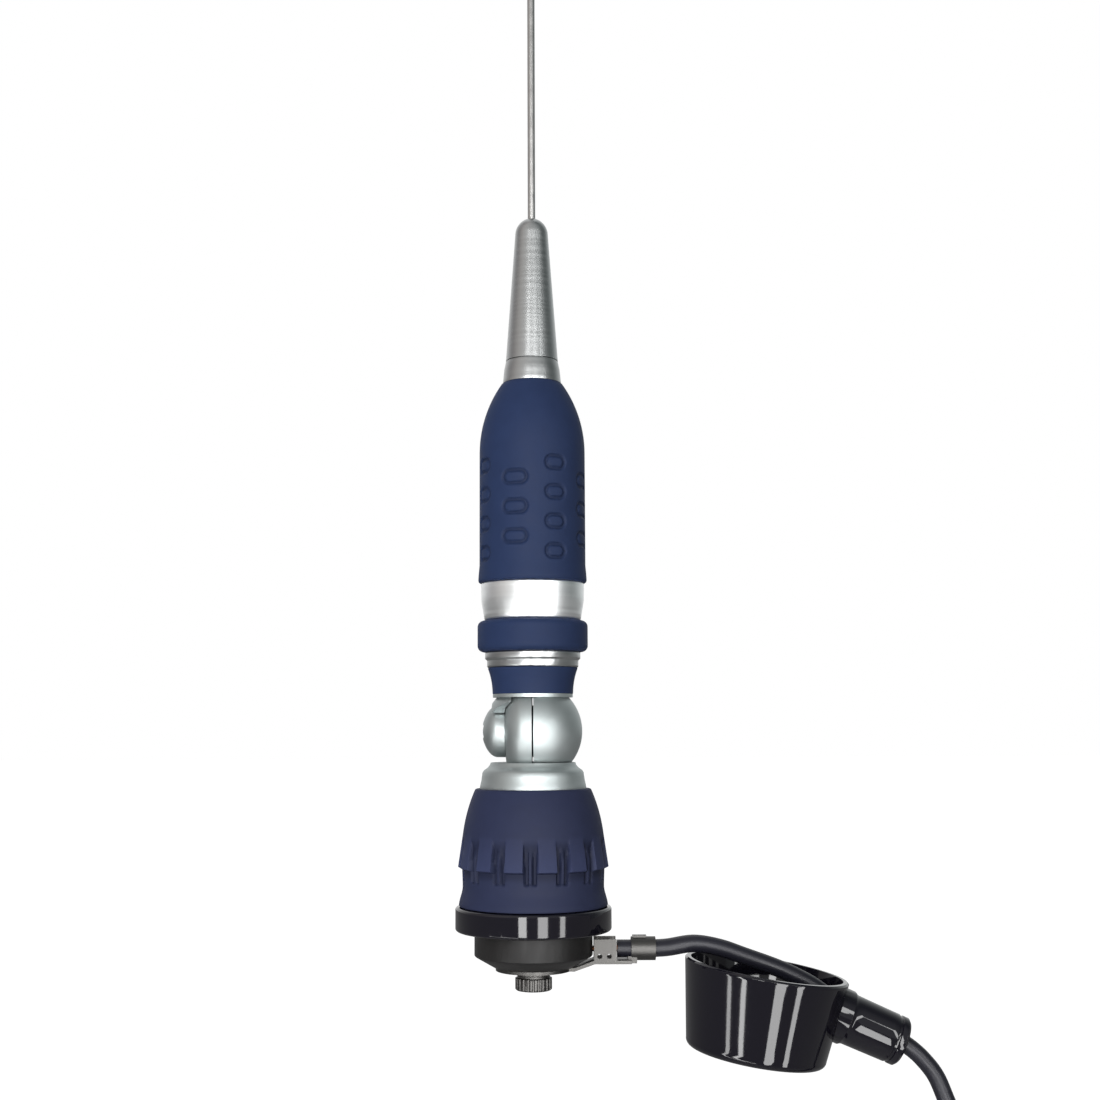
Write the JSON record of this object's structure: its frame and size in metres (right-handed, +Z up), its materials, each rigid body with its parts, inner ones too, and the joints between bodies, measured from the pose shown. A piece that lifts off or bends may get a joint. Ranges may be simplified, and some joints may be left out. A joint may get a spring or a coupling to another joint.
{
  "type": "cb antenna",
  "caption": "Roof antenna with a whip, a loading coil in a blue sleeve, a tilting knuckle, a ribbed base, a roof mount and a coiled feed cable with a screw plug.",
  "frame": {"origin": "centre of the mount ring's underside, the face that lies on the roof", "axes": "+Z up the mast, +X towards the cable bracket, the knuckle tilts about X"},
  "size_m": [0.2181, 0.047, 0.9745],
  "materials": {
    "spring_steel": "drawn steel, fine lengthwise grain",
    "satin_metal": "satin, turned",
    "bright_band": "satin bright",
    "plated_knuckle": "satin chrome",
    "plated_steel": "zinc plated",
    "dark_steel": "dark steel",
    "copper_wire": "enamelled copper",
    "blue_sleeve": "soft-touch matt",
    "blue_cover": "soft-touch matt",
    "black_gloss": "polished",
    "black_matte": "moulded, semi-matt",
    "black_rubber": "rubber",
    "cable_jacket": "semi-gloss jacket",
    "pale_plastic": "moulded"
  },
  "bodies": {
    "mount": {"mount_ring": "black_gloss", "roof_seal": "black_rubber", "mount_stud": "plated_steel", "stud_bush": "pale_plastic", "lower_insulator": "black_matte", "cable_bracket": "plated_steel", "cable_core": "copper_wire", "weather_cap": "black_gloss", "cable": "cable_jacket", "cable_coil": "cable_jacket", "coil_ties": "black_matte", "cable_tail": "cable_jacket", "plug_boot": "black_rubber", "plug_body": "plated_steel", "plug_insulator": "pale_plastic", "plug_pin": "plated_steel"},
    "base": {"base_cover": "blue_cover", "base_core": "satin_metal", "lower_knuckle": "plated_knuckle", "knuckle_washer": "dark_steel"},
    "mast": {"upper_knuckle": "plated_knuckle", "neck": "blue_sleeve", "knuckle_collar": "satin_metal", "lower_grip": "blue_sleeve", "coil_base": "satin_metal", "trim_band": "bright_band", "coil_former": "pale_plastic", "coil_winding": "copper_wire", "coil_sleeve": "blue_sleeve", "top_collar": "satin_metal", "whip_holder": "satin_metal", "grub_screws": "dark_steel"},
    "whip": {"whip": "spring_steel", "whip_tip": "satin_metal"},
    "clamp_screw": {"clamp_screw": "plated_knuckle"},
    "mount_nut": {"mount_nut": "plated_steel"},
    "plug_ring": {"plug_ring": "plated_steel"}
  },
  "joints": [
    {"name": "base_turn", "type": "hinge", "parent": "mount", "child": "base", "pos_m": [0, 0, 0.02], "axis": [0, 0, 1], "continuous": true},
    {"name": "knuckle_tilt", "type": "hinge", "parent": "base", "child": "mast", "pos_m": [0, 0, 0.0568], "axis": [1, 0, 0], "range_deg": [-75, 75]},
    {"name": "clamp_screw_turn", "type": "hinge", "parent": "base", "child": "clamp_screw", "pos_m": [0, 0, 0.0568], "axis": [1, 0, 0], "range_deg": [0, 360]},
    {"name": "whip_slide", "type": "slide", "parent": "mast", "child": "whip", "axis": [0, 0, 1], "range_m": [-0.003, 0.02]},
    {"name": "mount_nut_turn", "type": "hinge", "parent": "mount", "child": "mount_nut", "pos_m": [0, 0, -0.014], "axis": [0, 0, 1], "continuous": true},
    {"name": "plug_ring_turn", "type": "hinge", "parent": "mount", "child": "plug_ring", "pos_m": [0.1864, 0.0075, -0.16], "axis": [0, 0, 1], "continuous": true}
  ]
}
